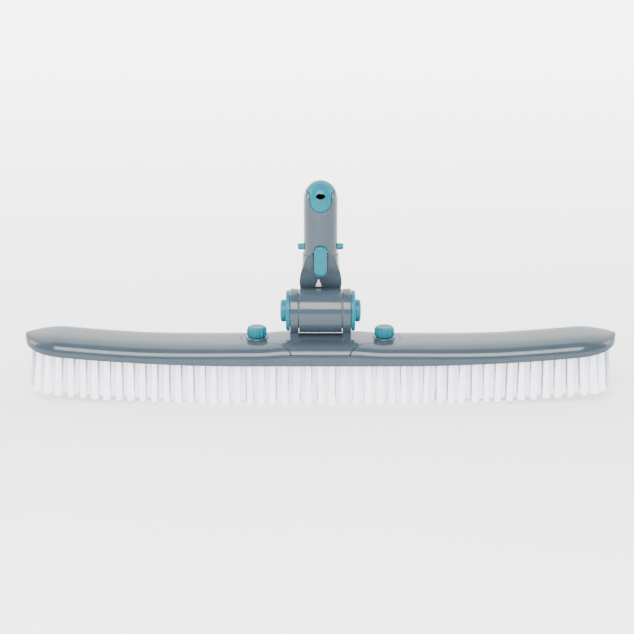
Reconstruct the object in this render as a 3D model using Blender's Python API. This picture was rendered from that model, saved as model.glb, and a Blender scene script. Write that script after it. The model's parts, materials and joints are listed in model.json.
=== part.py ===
"""Pool wall brush: a curved brush head with staple-set bristles, a screwed-on yoke and a tilting pole handle.

Frame: X runs along the head, -Y is the front, where the lock lever is, and Z is up. The bristle tips stand on
Z = 0. Run with: blender --background --python part.py
"""

from math import asin, cos, pi, radians, sin, sqrt

import bmesh
import bpy
from mathutils import Matrix, Vector

MM = 0.001
GAP = 0.3 * MM  # clearance between neighbouring pieces that don't move on each other
FAR = 60 * MM  # how far a cutter reaches past what it cuts

# Brush head: moulded cover, bristle plate and bristles
HEAD_HALF_LENGTH = 250 * MM
HEAD_HALF_WIDTH = 29 * MM
HEAD_END_LENGTH = 34 * MM  # the plan narrows as a half ellipse over this length at each end
BRISTLE_LENGTH = 36.3 * MM
FLAT_HALF_LENGTH = 60 * MM  # the rim is straight here and sweeps up beyond it
END_RISE = 11.2 * MM
TIP_LIFT = 3 * MM
WING_THICKNESS = 15 * MM
SHOULDER_SWELL = 1.3 * MM  # extra thickness under the knobs, gone after SHOULDER_REACH
SHOULDER_START = 54 * MM
SHOULDER_REACH = 110 * MM
CREST_SWELL = 1.7 * MM  # extra thickness under the yoke's ears, gone after CREST_REACH
CREST_START = 28 * MM
CREST_REACH = 24 * MM
TIP_THINNING = 8 * MM
CENTRE_SQUARENESS = 3.6  # exponent of the super-ellipse that the cover's section follows
WING_SQUARENESS = 3.0
RIM_WALL = 3 * MM
POCKET_DEPTH = 4.5 * MM
PLATE_THICKNESS = 3.5 * MM
PLATE_LIP = 0.6 * MM  # the plate sits this far inside the rim
ROW_SPACING = 10 * MM
TUFT_PITCH = 20 * MM  # one tooth of a row's solid stands for two tufts
TUFT_ROOT_HALF = 7.4 * MM
TUFT_ROOT_DEPTH = 2.4 * MM
TUFT_TIP_DEPTH = 4.2 * MM
TUFT_NOTCH_HEIGHT = 6 * MM
PLATE_SCREW_X = (-200 * MM, -100 * MM, 100 * MM, 200 * MM)
PLATE_SCREW_RADIUS = 1.4 * MM
PLATE_SCREW_HEAD_RADIUS = 2.5 * MM
PLATE_SCREW_HEAD_HEIGHT = 1.6 * MM
PLATE_SCREW_LENGTH = 9 * MM

# Yoke: a saddle let into the cover, with two ears
SADDLE_PARTING = 45.8 * MM
LOBE_RADIUS = 13.4 * MM
SADDLE_FRONT_HALF = 23.6 * MM
SADDLE_CURVE_POWER = 2.4
EAR_INNER = 18.5 * MM
EAR_OUTER = 25.7 * MM
EAR_RADIUS = 18.7 * MM
EAR_FOOT_HALF = 8 * MM
EAR_FILLET = 6 * MM

# Knob screws that hold the yoke down
KNOB_X = 54 * MM
KNOB_RADIUS = 8.4 * MM
KNOB_FLUTES = 14
KNOB_FLUTE_DEPTH = 0.7 * MM
KNOB_BOTTOM = 54.6 * MM
KNOB_TOP = 63 * MM
COLLAR_RADIUS = 9 * MM
COLLAR_BOTTOM = 51.9 * MM
STUD_RADIUS = 2.6 * MM
STUD_BOTTOM = 41.4 * MM
STUD_TOP = 60.2 * MM
STUD_CLEARANCE = 3 * MM
KNOB_SEAT = 51.6 * MM  # floor of the round seat under each collar
KNOB_SEAT_RADIUS = 9.6 * MM
INSERT_RADIUS = 4.2 * MM

# Pivot
PIVOT = Vector((0, 0, 77 * MM))
BARREL_RADIUS = 18.5 * MM
BARREL_HALF = 18.1 * MM
BORE_RADIUS = 12.3 * MM
WEB_HALF = 2 * MM
BUSH_OUTER = 15 * MM
BUSH_INNER = 12.1 * MM
BUSH_START = 14.6 * MM
BUSH_END = 21.7 * MM
RING_RADIUS = 11.7 * MM
RING_TEETH = 12
RING_TOOTH_DEPTH = 1 * MM
RING_CUP_DEPTH = 6.7 * MM
RING_START = 14 * MM
BEZEL_RADIUS = 17.2 * MM
BEZEL_START = 26 * MM
BEZEL_END = 29.3 * MM
BEZEL_SPIGOT_RADIUS = 13.4 * MM
BUTTON_RADIUS = 9.4 * MM
BUTTON_END = 34.3 * MM
BUTTON_START = 22 * MM
BUTTON_FLANGE_RADIUS = 11.4 * MM
BUTTON_FLANGE_HEIGHT = 2.6 * MM
BUTTON_PRESS_ROOM = 5 * MM
BEZEL_BORE = 11.9 * MM
BEZEL_SHELF = 0.8 * MM  # how far the bezel's inner flange lies behind the ear's face
PIN_RADIUS = 2.5 * MM
PIN_HALF = 26.5 * MM
PIN_CLEARANCE = 2.9 * MM
BUTTON_SPRING_RADIUS = 5.5 * MM
BUTTON_SPRING_WIRE = 0.7 * MM
BUTTON_SPRING_SPAN = (2.4 * MM, 16.3 * MM)

# Handle: neck and pole spigot
NECK = ((18.0, 78.0), (18.0, 98.0), (17.7, 104.0), (16.9, 109.5), (15.9, 114.5), (15.3, 119.0), (15.1, 124.0))  # radius, z
TUBE_RADIUS = 14.25 * MM
TUBE_BORE = 11.8 * MM
BORE_FLOOR = 141.4 * MM  # below this the bore keeps clear of the lever's pin bosses at the front
BACK_BORE_FLOOR = 128 * MM
BACK_BORE_LAP = 20.9  # degrees past the half circle
SHOULDER = 127.5 * MM
DOME_START = 174 * MM
DOME_HEIGHT = 16 * MM
RAKE_TOP = (-14.25 * MM, 135.4 * MM)  # the scooped front panel runs between these (y, z) points
RAKE_FOOT = (5.4 * MM, 94.7 * MM)
PANEL_RIM = 1.1 * MM
PANEL_DEPTH = 1.2 * MM

# Lock lever and bolt inside the neck
LEVER_PIVOT = Vector((0, -8 * MM, 131.4 * MM))
LEVER_HALF_WIDTH = 5.9 * MM
LEVER_TOP = 137 * MM
LEVER_FOOT = 110.4 * MM
LEVER_FACE = -17 * MM
LEVER_BACK = -5.2 * MM
LEVER_PAD_DEPTH = 5 * MM
LEVER_ARM = ((-7, 130.4), (-3.5, 128.4), (9.3, 122.3), (9.3, 120.3), (6, 120.2), (-7, 116.4))  # y, z
LEVER_ARM_HALF = 2.2 * MM
LEVER_SLOT_GAP = 0.5 * MM
LEVER_SLOT_BACK = 0.6 * MM
LEVER_PIN_RADIUS = 1.5 * MM
LEVER_PIN_HALF = 8.8 * MM
BOLT_HALF_WIDTH = 3.5 * MM
BOLT_FRONT = 7.8 * MM
BOLT_BACK = 10.8 * MM
BOLT_FOOT = 86.2 * MM
BOLT_TOP = 124.4 * MM
BOLT_WINDOW_HALF = 2.6 * MM
BOLT_WINDOW = (118.7 * MM, 123.4 * MM)
BOLT_CHANNEL = ((-3.9, 128.5), (11.2, 128.5), (11.2, 84), (7.3, 84), (7.3, 98.2), (0.8, 112), (-3.9, 120.6))  # y, z
BOLT_SPRING_TOP = 148 * MM
BOLT_SPRING_RADIUS = 1.3 * MM
BOLT_SPRING_WIRE = 0.5 * MM

# Pole clip in the spigot's end
CLIP_EDGE = 181.9 * MM
TONGUE_HALF_WIDTH = 9 * MM
TONGUE_FOOT = 166.1 * MM
STEM_RADIUS = 11.4 * MM
STEM_FOOT = 148.4 * MM
STEM_BORE = 9.2 * MM
STEM_BORE_TOP = 184 * MM
HANG_HOLE_Z = 178.7 * MM
HANG_HOLE_HALF = (3.95 * MM, 2.9 * MM)
SNAP_Z = 133.1 * MM
SNAP_RADIUS = 2.7 * MM
SNAP_END = 19.2 * MM
SNAP_BAR = (8.7 * MM, 10.9 * MM)
SNAP_BAR_HALF = 3.4 * MM
SNAP_BAR_FOOT = 129.3 * MM

# Finishes: colour, roughness, metallic
FINISHES = {
    "grey_plastic": ((0.165, 0.205, 0.240), 0.28, 0.0),
    "cyan_plastic": ((0.005, 0.600, 0.760), 0.25, 0.0),
    "white_nylon": ((0.840, 0.830, 0.860), 0.45, 0.0),
    "beige_plastic": ((0.560, 0.520, 0.480), 0.50, 0.0),
    "acetal": ((0.780, 0.780, 0.760), 0.40, 0.0),
    "steel": ((0.560, 0.570, 0.580), 0.30, 1.0),
    "brass": ((0.720, 0.530, 0.230), 0.32, 1.0),
}
SMOOTH_ANGLE = radians(32)


# ---- modelling helpers ----


def clear_scene():
    for item in list(bpy.data.objects):
        bpy.data.objects.remove(item)


def finish(name):
    """The shared Principled material of that name."""
    known = bpy.data.materials.get(name)
    if known:
        return known
    colour, roughness, metallic = FINISHES[name]
    new = bpy.data.materials.new(name)
    new.use_nodes = True
    shader = new.node_tree.nodes["Principled BSDF"]
    shader.inputs["Base Color"].default_value = (*colour, 1.0)
    shader.inputs["Roughness"].default_value = roughness
    shader.inputs["Metallic"].default_value = metallic
    new.diffuse_color = (*colour, 1.0)
    return new


def place(name, bm, finish_name=None, origin=(0, 0, 0), parent=None):
    """Turns a bmesh in world coordinates into an object whose origin is at a given world point."""
    origin = Vector(origin)
    bmesh.ops.recalc_face_normals(bm, faces=bm.faces)
    bmesh.ops.translate(bm, vec=-origin, verts=bm.verts)
    mesh = bpy.data.meshes.new(name)
    bm.to_mesh(mesh)
    bm.free()
    item = bpy.data.objects.new(name, mesh)
    mesh.shade_smooth()
    mesh.set_sharp_from_angle(angle=SMOOTH_ANGLE)
    if finish_name:
        mesh.materials.append(finish(finish_name))
    item.location = origin
    if parent:
        item.parent = parent
        item.location = origin - parent.location
    bpy.context.scene.collection.objects.link(item)
    return item


def joint_marker(name, point):
    """An empty on a joint's axis, which the pieces that move with it hang from."""
    marker = bpy.data.objects.new(name, None)
    marker.location = point
    marker.empty_display_size = 10 * MM
    bpy.context.scene.collection.objects.link(marker)
    return marker


def place_cutter(name, bm):
    """A hidden wire object that shapes other objects."""
    cutter = place(name, bm)
    cutter.hide_render = True
    cutter.display_type = "WIRE"
    return cutter


def carve_with(target, cutter, operation="DIFFERENCE"):
    """Adds a Boolean modifier to target."""
    modifier = target.modifiers.new(cutter.name, "BOOLEAN")
    modifier.operation = operation
    modifier.object = cutter
    modifier.solver = "EXACT"


def carve(target, bm, operation="DIFFERENCE"):
    """Adds a Boolean modifier to target, with its cutter made from a bmesh."""
    cutter = place_cutter(f"cutter_{target.name}_{len(target.modifiers)}", bm)
    carve_with(target, cutter, operation)


def loft(rings):
    """A closed solid through rings of equally many points, with flat ends."""
    bm = bmesh.new()
    loops = [[bm.verts.new(point) for point in ring] for ring in rings]
    for lower, upper in zip(loops, loops[1:]):
        for i in range(len(lower)):
            j = (i + 1) % len(lower)
            bm.faces.new((lower[i], lower[j], upper[j], upper[i]))
    bm.faces.new(loops[0])
    bm.faces.new(loops[-1])
    return bm


def prism(outline, axis, low, high):
    """Extrudes an outline of 2-D points along an axis. The points are the other two axes, in X, Y, Z order."""
    at = {
        "X": lambda a, b, c: (c, a, b),
        "Y": lambda a, b, c: (a, c, b),
        "Z": lambda a, b, c: (a, b, c),
    }[axis]
    return loft([[at(a, b, c) for a, b in outline] for c in (low, high)])


def lathe(profile, axis="Z", at=(0, 0, 0), steps=28, flip=1):
    """Spins (radius, height) points into a solid. A profile that starts off the axis is a closed ring."""
    bm = bmesh.new()
    verts = [bm.verts.new((radius, 0, flip * height)) for radius, height in profile]
    pairs = zip(verts, verts[1:])
    edges = [bm.edges.new((v, w)) for v, w in pairs if v.co.x + w.co.x > 0]  # none along the axis itself
    if profile[0][0] > 0:
        edges.append(bm.edges.new((verts[-1], verts[0])))
    bmesh.ops.spin(bm, geom=verts + edges, cent=(0, 0, 0), axis=(0, 0, 1), angle=2 * pi, steps=steps)
    bmesh.ops.remove_doubles(bm, verts=bm.verts, dist=1e-7)
    if axis == "X":
        bmesh.ops.rotate(bm, cent=(0, 0, 0), matrix=Matrix.Rotation(pi / 2, 3, "Y"), verts=bm.verts)
    bmesh.ops.translate(bm, vec=Vector(at), verts=bm.verts)
    return bm


def rod(radius, low, high, axis="Z", at=(0, 0, 0), steps=28):
    """A plain round bar between two heights along an axis."""
    return lathe([(0, low), (radius, low), (radius, high), (0, high)], axis, at, steps)


def ring(inner, outer, low, high, axis="Z", at=(0, 0, 0), steps=28, flip=1):
    """A plain round ring."""
    corners = [(inner, low), (outer, low), (outer, high), (inner, high)]
    return lathe(corners, axis, at, steps, flip)


def box(low, high):
    """A block between two corners."""
    outline = [(low[0], low[1]), (high[0], low[1]), (high[0], high[1]), (low[0], high[1])]
    return prism(outline, "Z", low[2], high[2])


def arc(centre, radius, start, end, count):
    """Points on an arc, with angles in degrees."""
    angles = [radians(start + (end - start) * i / count) for i in range(count + 1)]
    return [(centre[0] + radius * cos(a), centre[1] + radius * sin(a)) for a in angles]


def coil(radius, wire, low, high, turns, axis="Z", at=(0, 0, 0), flip=1, steps=8, sides=5):
    """A round-wire helical spring with cut ends, as one closed tube."""
    total = int(turns * steps)
    rings = []
    for i in range(total + 1):
        angle = 2 * pi * i / steps
        height = low + wire / 2 + (high - low - wire) * i / total
        around = []
        for k in range(sides):
            turn = 2 * pi * k / sides
            reach = radius + wire / 2 * cos(turn)
            around.append((reach * cos(angle), reach * sin(angle), flip * (height + wire / 2 * sin(turn))))
        rings.append(around)
    bm = loft(rings)
    if axis == "X":
        bmesh.ops.rotate(bm, cent=(0, 0, 0), matrix=Matrix.Rotation(pi / 2, 3, "Y"), verts=bm.verts)
    bmesh.ops.translate(bm, vec=Vector(at), verts=bm.verts)
    return bm


def ease(t):
    """Smooth step from 0 to 1."""
    t = min(max(t, 0.0), 1.0)
    return t * t * (3 - 2 * t)


# ---- brush head ----


def end_fraction(x):
    """0 along the straight sides, 1 at the very end of the head."""
    start = HEAD_HALF_LENGTH - HEAD_END_LENGTH
    return max(0.0, (abs(x) - start) / HEAD_END_LENGTH)


def sweep_up(x):
    """How far the rim and the bristle tips have risen above the middle."""
    reach = max(0.0, abs(x) - FLAT_HALF_LENGTH) / (HEAD_HALF_LENGTH - FLAT_HALF_LENGTH)
    return END_RISE * reach**2


def rim_height(x):
    return BRISTLE_LENGTH + sweep_up(x) + TIP_LIFT * end_fraction(x) ** 4


def half_width(x):
    return HEAD_HALF_WIDTH * sqrt(max(0.0, 1 - end_fraction(x) ** 2))


def shoulder(x):
    """1 under the yoke, 0 along the wings."""
    return 1 - ease((abs(x) - SHOULDER_START) / SHOULDER_REACH)


def cover_thickness(x):
    crest = 1 - ease((abs(x) - CREST_START) / CREST_REACH)
    middle = WING_THICKNESS + SHOULDER_SWELL * shoulder(x) + CREST_SWELL * crest
    return middle - TIP_THINNING * end_fraction(x) ** 2


def head_stations(reach=HEAD_HALF_LENGTH):
    """X places of the head's sections, close together where its shape turns."""
    straight = HEAD_HALF_LENGTH - HEAD_END_LENGTH
    side = [0.0, CREST_START, CREST_START + CREST_REACH / 3, CREST_START + CREST_REACH * 2 / 3, FLAT_HALF_LENGTH]
    side += [FLAT_HALF_LENGTH + (straight - FLAT_HALF_LENGTH) * i / 12 for i in range(1, 13)]
    side += [straight + HEAD_END_LENGTH * sin(radians(a)) for a in (20, 37, 52, 65, 76, 85)]
    side = [x for x in side if x < reach]
    return [-x for x in reversed(side[1:])] + side


def cover_section(x, points=16):
    """One section of the cover's outer surface: a super-ellipse on a flat rim."""
    power = 2 / (WING_SQUARENESS + (CENTRE_SQUARENESS - WING_SQUARENESS) * shoulder(x))
    width = half_width(x)
    section = []
    for i in range(points + 1):
        angle = pi * i / points
        side = 1 if cos(angle) >= 0 else -1
        y = width * side * abs(cos(angle)) ** power
        z = rim_height(x) + cover_thickness(x) * max(0.0, sin(angle)) ** power
        section.append((x, y, z))
    return section


def flat_section(x, inset, low, high):
    """A rectangular section that follows the rim, between two heights above it."""
    width = half_width(x) - inset
    rim = rim_height(x)
    return [(x, -width, rim + low), (x, width, rim + low), (x, width, rim + high), (x, -width, rim + high)]


def head_shape():
    """The outer shape that the cover and the saddle share."""
    return loft([cover_section(x) for x in head_stations()])


def inset_stations(inset):
    """Stations of a shape set in from the plan outline, which ends where it would get too narrow."""
    fraction = sqrt(1 - ((inset + 3 * MM) / HEAD_HALF_WIDTH) ** 2)
    return head_stations(HEAD_HALF_LENGTH - HEAD_END_LENGTH * (1 - fraction))


def saddle_outline(offset):
    """Plan of the saddle: full width in the middle, narrowing in two curves to round lobes under the knobs."""
    quarter = [(SADDLE_FRONT_HALF + offset, FAR)]
    for i in range(9):
        t = i / 8
        x = SADDLE_FRONT_HALF + (KNOB_X - SADDLE_FRONT_HALF) * t
        extra = (HEAD_HALF_WIDTH - LOBE_RADIUS) * (1 - t) ** SADDLE_CURVE_POWER
        quarter.append((x + offset * (1 - t), LOBE_RADIUS + extra + offset))
    quarter += arc((KNOB_X, 0), LOBE_RADIUS + offset, 90, 0, 8)[1:]
    right = quarter + [(x, -y) for x, y in reversed(quarter[:-1])]
    return right + [(-x, y) for x, y in reversed(right)]


def saddle_space(offset):
    """The space above the parting line that the saddle fills."""
    return prism(saddle_outline(offset), "Z", SADDLE_PARTING - offset, SADDLE_PARTING + FAR)


def make_cover():
    """Moulded cover with a pocket below for the bristle plate and a seat above for the saddle."""
    cover = place("brush_cover", head_shape(), "grey_plastic")
    carve(cover, saddle_space(GAP / 2))
    pocket = [flat_section(x, RIM_WALL, -5 * MM, POCKET_DEPTH) for x in inset_stations(RIM_WALL)]
    carve(cover, loft(pocket))
    for x in (-KNOB_X, KNOB_X):
        low = rim_height(x) + POCKET_DEPTH - 2 * MM
        carve(cover, rod(INSERT_RADIUS + GAP, low, SADDLE_PARTING + 2 * MM, at=(x, 0, 0), steps=20))
    for x in PLATE_SCREW_X:
        low = rim_height(x) + POCKET_DEPTH - 2 * MM
        high = rim_height(x) + PLATE_LIP + PLATE_SCREW_LENGTH + GAP
        carve(cover, rod(PLATE_SCREW_RADIUS + GAP, low, high, at=(x, 0, 0), steps=12))


def make_plate():
    """Bristle plate in the cover's pocket, with counterbored screw holes."""
    inset = RIM_WALL + GAP
    low, high = PLATE_LIP, PLATE_LIP + PLATE_THICKNESS
    sections = [flat_section(x, inset, low, high) for x in inset_stations(inset)]
    plate = place("bristle_plate", loft(sections), "beige_plastic")
    for x in PLATE_SCREW_X:
        rim = rim_height(x)
        head = PLATE_SCREW_HEAD_RADIUS + GAP
        shank = PLATE_SCREW_RADIUS + GAP
        step = rim + low + PLATE_SCREW_HEAD_HEIGHT + GAP
        profile = [(0, rim - 5 * MM), (head, rim - 5 * MM), (head, step), (shank, step), (shank, rim + 8 * MM)]
        carve(plate, lathe(profile + [(0, rim + 8 * MM)], at=(x, 0, 0), steps=16))


def make_plate_screws():
    """Pan-head screws from below, through the plate into the cover."""
    for number, x in enumerate(PLATE_SCREW_X, 1):
        low = rim_height(x) + PLATE_LIP + GAP
        step = low + PLATE_SCREW_HEAD_HEIGHT - GAP
        top = low + PLATE_SCREW_LENGTH - GAP
        profile = [
            (0, low),
            (PLATE_SCREW_HEAD_RADIUS, low),
            (PLATE_SCREW_HEAD_RADIUS, step),
            (PLATE_SCREW_RADIUS, step),
            (PLATE_SCREW_RADIUS, top - 1 * MM),
            (0, top),
        ]
        place(f"plate_screw_{number}", lathe(profile, at=(x, 0, 0), steps=12), "steel", origin=(x, 0, low))


def row_reach(y):
    """How far along X a bristle row at this Y can run inside the rim."""
    room = (abs(y) + RIM_WALL + 3 * MM) / HEAD_HALF_WIDTH
    return HEAD_HALF_LENGTH - HEAD_END_LENGTH * (1 - sqrt(max(0.0, 1 - room**2))) - 2 * MM


def make_bristle_rows():
    """Five rows of tufts, each a comb whose teeth merge near the tips. Alternate rows are staggered."""
    for number in range(5):
        y = (number - 2) * ROW_SPACING
        shift = TUFT_PITCH / 2 * (number % 2)
        count = int((row_reach(y) - TUFT_ROOT_HALF - shift) // TUFT_PITCH)
        centres = [shift + TUFT_PITCH * k for k in range(-count - (1 if shift else 0), count + 1)]
        rings = []
        for centre in centres:
            left = centre - TUFT_ROOT_HALF
            right = centre + TUFT_ROOT_HALF
            if centre == centres[0]:
                rings.append(row_section(centre - TUFT_PITCH / 2 + GAP, y, TUFT_NOTCH_HEIGHT))
            rings.append(row_section(left, y))
            rings.append(row_section(right, y))
            end = centre + TUFT_PITCH / 2 - (GAP if centre == centres[-1] else 0)
            rings.append(row_section(end, y, TUFT_NOTCH_HEIGHT))
        place(f"bristle_row_{number + 1}", loft(rings), "white_nylon")


def row_section(x, y, height=None):
    """One section of a bristle row: thin at the root and wide at the tips."""
    tip = sweep_up(x)
    root = rim_height(x) + PLATE_LIP - GAP
    top = root if height is None else tip + height
    depth = TUFT_TIP_DEPTH + (TUFT_ROOT_DEPTH - TUFT_TIP_DEPTH) * (top - tip) / (root - tip)
    return [(x, y - TUFT_TIP_DEPTH, tip), (x, y + TUFT_TIP_DEPTH, tip), (x, y + depth, top), (x, y - depth, top)]


# ---- yoke and its screws ----


def ear_outline():
    """Side view of an ear: a disc on a narrower foot, joined by two fillets."""
    reach = EAR_FOOT_HALF + EAR_FILLET
    drop = sqrt((EAR_RADIUS + EAR_FILLET) ** 2 - reach**2)
    fillet_z = PIVOT.z - drop
    foot = SADDLE_PARTING + 2 * MM
    tangent = 90 - (180 / pi) * asin(reach / (EAR_RADIUS + EAR_FILLET))
    disc = arc((0, PIVOT.z), EAR_RADIUS, -tangent, 180 + tangent, 28)
    right = arc((reach, fillet_z), EAR_FILLET, 180, 180 - tangent, 5)[:-1]
    left = [(-y, z) for y, z in reversed(right)]
    return [(EAR_FOOT_HALF, foot)] + right + disc + left + [(-EAR_FOOT_HALF, foot)]


def make_yoke():
    """Saddle and two ears in one moulding, bored for the pivot parts and the knob studs."""
    yoke = place("yoke", saddle_space(-GAP / 2), "grey_plastic")
    carve(yoke, head_shape(), "INTERSECT")
    for side in (-1, 1):
        low, high = sorted((side * EAR_INNER, side * EAR_OUTER))
        carve(yoke, prism(ear_outline(), "X", low, high), "UNION")
    for side in (-1, 1):
        bush = BUSH_OUTER + GAP
        spigot = BEZEL_SPIGOT_RADIUS + GAP
        step = BUTTON_START + GAP / 2
        near, beyond = EAR_INNER - 2 * MM, EAR_OUTER + 2 * MM
        profile = [(0, near), (bush, near), (bush, step), (spigot, step), (spigot, beyond), (0, beyond)]
        carve(yoke, lathe(profile, "X", PIVOT, flip=side))
        low, high = SADDLE_PARTING - 5 * MM, SADDLE_PARTING + 15 * MM
        carve(yoke, rod(STUD_CLEARANCE, low, high, at=(side * KNOB_X, 0, 0), steps=20))
        carve(yoke, rod(KNOB_SEAT_RADIUS, KNOB_SEAT, KNOB_SEAT + 5 * MM, at=(side * KNOB_X, 0, 0)))


def knob_section(radius, z, centre_x):
    """A fluted outline around a knob's axis."""
    section = []
    for i in range(KNOB_FLUTES * 4):
        angle = 2 * pi * i / (KNOB_FLUTES * 4)
        reach = radius - (KNOB_FLUTE_DEPTH if i % 4 >= 2 else 0)
        section.append((centre_x + reach * cos(angle), reach * sin(angle), z))
    return section


def make_knob(side, label):
    """Fluted knob moulded on a threaded stud, with its captive collar and the insert it screws into."""
    x = side * KNOB_X
    rise = joint_marker(f"rise_axis_{label}", (x, 0, COLLAR_BOTTOM))
    turn = joint_marker(f"turn_axis_{label}", (x, 0, KNOB_BOTTOM))
    collar_top = KNOB_BOTTOM - GAP
    collar = ring(STUD_CLEARANCE, COLLAR_RADIUS, COLLAR_BOTTOM, collar_top, at=(x, 0, 0))
    place(f"knob_collar_{label}", collar, "grey_plastic", (x, 0, COLLAR_BOTTOM), rise)

    levels = [
        (KNOB_RADIUS - 0.5 * MM, KNOB_BOTTOM),
        (KNOB_RADIUS, KNOB_BOTTOM + 0.5 * MM),
        (KNOB_RADIUS, KNOB_TOP - 1.4 * MM),
        (KNOB_RADIUS - 1.2 * MM, KNOB_TOP),
    ]
    fluted = loft([knob_section(radius, z, x) for radius, z in levels])
    knob = place(f"knob_{label}", fluted, "cyan_plastic", (x, 0, KNOB_BOTTOM), turn)
    socket = rod(STUD_RADIUS + GAP, KNOB_BOTTOM - 2 * MM, STUD_TOP + GAP, at=(x, 0, 0), steps=20)
    carve(knob, socket)

    tip = 0.6 * MM
    profile = [(0, STUD_BOTTOM), (STUD_RADIUS - tip, STUD_BOTTOM), (STUD_RADIUS, STUD_BOTTOM + tip)]
    profile += [(STUD_RADIUS, STUD_TOP), (0, STUD_TOP)]
    stud = lathe(profile, at=(x, 0, 0), steps=20)
    place(f"knob_stud_{label}", stud, "steel", (x, 0, KNOB_BOTTOM), turn)

    low = rim_height(x) + POCKET_DEPTH + GAP
    high = SADDLE_PARTING - GAP
    insert = ring(STUD_CLEARANCE, INSERT_RADIUS, low, high, at=(x, 0, 0), steps=20)
    place(f"threaded_insert_{label}", insert, "brass", (x, 0, low))


# ---- pivot ----


def make_pivot(side, label, handle_axis):
    """One side of the pivot: bush, toothed lock ring, spring, bezel and push-button."""
    bush = ring(BUSH_INNER, BUSH_OUTER, BUSH_START, BUSH_END, "X", PIVOT, flip=side)
    place(f"pivot_bush_{label}", bush, "acetal", PIVOT)

    lock_ring = place(f"lock_ring_{label}", lock_ring_shape(side), "acetal", PIVOT, handle_axis)
    cup = BUTTON_SPRING_RADIUS + 1.7 * MM
    floor = RING_START + RING_CUP_DEPTH
    near, beyond = RING_START - 2 * MM, BUSH_END + 2 * MM
    bored = [(0, near), (cup, near), (cup, floor), (PIN_CLEARANCE, floor), (PIN_CLEARANCE, beyond), (0, beyond)]
    carve(lock_ring, lathe(bored, "X", PIVOT, steps=20, flip=side))

    low, high = BUTTON_SPRING_SPAN
    spring = coil(BUTTON_SPRING_RADIUS, BUTTON_SPRING_WIRE, low, high, 4, "X", PIVOT, side)
    place(f"button_spring_{label}", spring, "steel", PIVOT, handle_axis)

    spigot_start = BUTTON_START + 2 * GAP
    shelf = BEZEL_START - BEZEL_SHELF
    bezel = [
        (BEZEL_BORE, spigot_start),
        (BEZEL_SPIGOT_RADIUS, spigot_start),
        (BEZEL_SPIGOT_RADIUS, BEZEL_START),
        (BEZEL_RADIUS, BEZEL_START),
        (BEZEL_RADIUS, BEZEL_END - 1.6 * MM),
        (BEZEL_RADIUS - 0.5 * MM, BEZEL_END - 0.5 * MM),
        (BEZEL_RADIUS - 1.6 * MM, BEZEL_END),
        (BUTTON_RADIUS + GAP, BEZEL_END),
        (BUTTON_RADIUS + GAP, shelf),
        (BEZEL_BORE, shelf),
    ]
    place(f"button_bezel_{label}", lathe(bezel, "X", PIVOT, 32, side), "cyan_plastic", PIVOT)

    flange_top = BUTTON_START + BUTTON_FLANGE_HEIGHT
    blind_end = PIN_HALF + BUTTON_PRESS_ROOM
    button = [
        (PIN_CLEARANCE, BUTTON_START),
        (BUTTON_FLANGE_RADIUS, BUTTON_START),
        (BUTTON_FLANGE_RADIUS, flange_top),
        (BUTTON_RADIUS, flange_top),
        (BUTTON_RADIUS, BUTTON_END - 2 * MM),
        (BUTTON_RADIUS - 0.5 * MM, BUTTON_END - 1 * MM),
        (BUTTON_RADIUS - 1.6 * MM, BUTTON_END - 0.4 * MM),
        (BUTTON_RADIUS / 2, BUTTON_END - 0.1 * MM),
        (0, BUTTON_END),
        (0, blind_end),
        (PIN_CLEARANCE, blind_end),
    ]
    place(f"pivot_button_{label}", lathe(button, "X", PIVOT, 28, side), "cyan_plastic", PIVOT, handle_axis)


def lock_ring_shape(side):
    """A short drum with square teeth around it."""
    rings = []
    for x in (RING_START, BUSH_END):
        around = []
        for i in range(RING_TEETH * 4):
            angle = 2 * pi * (i + 0.5) / (RING_TEETH * 4)
            reach = RING_RADIUS - (RING_TOOTH_DEPTH if i % 4 >= 2 else 0)
            around.append((side * x, PIVOT.y + reach * cos(angle), PIVOT.z + reach * sin(angle)))
        rings.append(around)
    return loft(rings)


def make_pivot_pin(handle_axis):
    pin = rod(PIN_RADIUS, -PIN_HALF, PIN_HALF, "X", PIVOT, 20)
    place("pivot_pin", pin, "steel", PIVOT, handle_axis)


# ---- handle ----


def handle_profile(shrink=0.0):
    """Radius and height points up the neck, the pole stop, the pole spigot and its domed end."""
    points = [(0, NECK[0][1] * MM)]
    points += [(radius * MM - shrink, height * MM) for radius, height in NECK]
    points += [(NECK[-1][0] * MM - shrink, SHOULDER), (TUBE_RADIUS - shrink, SHOULDER)]
    for i in range(10):
        angle = pi / 2 * i / 9
        points.append(((TUBE_RADIUS - shrink) * cos(angle), DOME_START + DOME_HEIGHT * sin(angle)))
    points[-1] = (0, DOME_START + DOME_HEIGHT)
    return points


def raked_space(inward):
    """Everything in front of the raked panel plane, moved into the neck by a distance."""
    (y_top, z_top), (y_foot, z_foot) = RAKE_TOP, RAKE_FOOT
    along = Vector((y_foot - y_top, z_foot - z_top)).normalized()
    into = Vector((-along.y, along.x))
    top = Vector(RAKE_TOP) + into * inward - along * 20 * MM
    foot = Vector(RAKE_FOOT) + into * inward + along * 30 * MM
    outline = [tuple(top), tuple(foot), (-FAR, foot.y), (-FAR, top.y)]
    return prism(outline, "X", -FAR, FAR)


def clip_space(offset):
    """What the clip's cap takes from the spigot: its domed end and a tongue down the front and the back."""
    half = TONGUE_HALF_WIDTH + offset
    centre_z = TONGUE_FOOT + TONGUE_HALF_WIDTH
    edge = CLIP_EDGE - offset
    corner = 2.2 * MM
    tongue = arc((0, centre_z), half, 180, 360, 14)
    right = arc((half + corner, edge - corner), corner, 180, 90, 4)
    left = [(-x, z) for x, z in reversed(right)]
    beyond = DOME_START + DOME_HEIGHT + 5 * MM
    outline = tongue + right + [(FAR, edge), (FAR, beyond), (-FAR, beyond), (-FAR, edge)] + left
    return prism(outline, "Y", -FAR, FAR)


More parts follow.
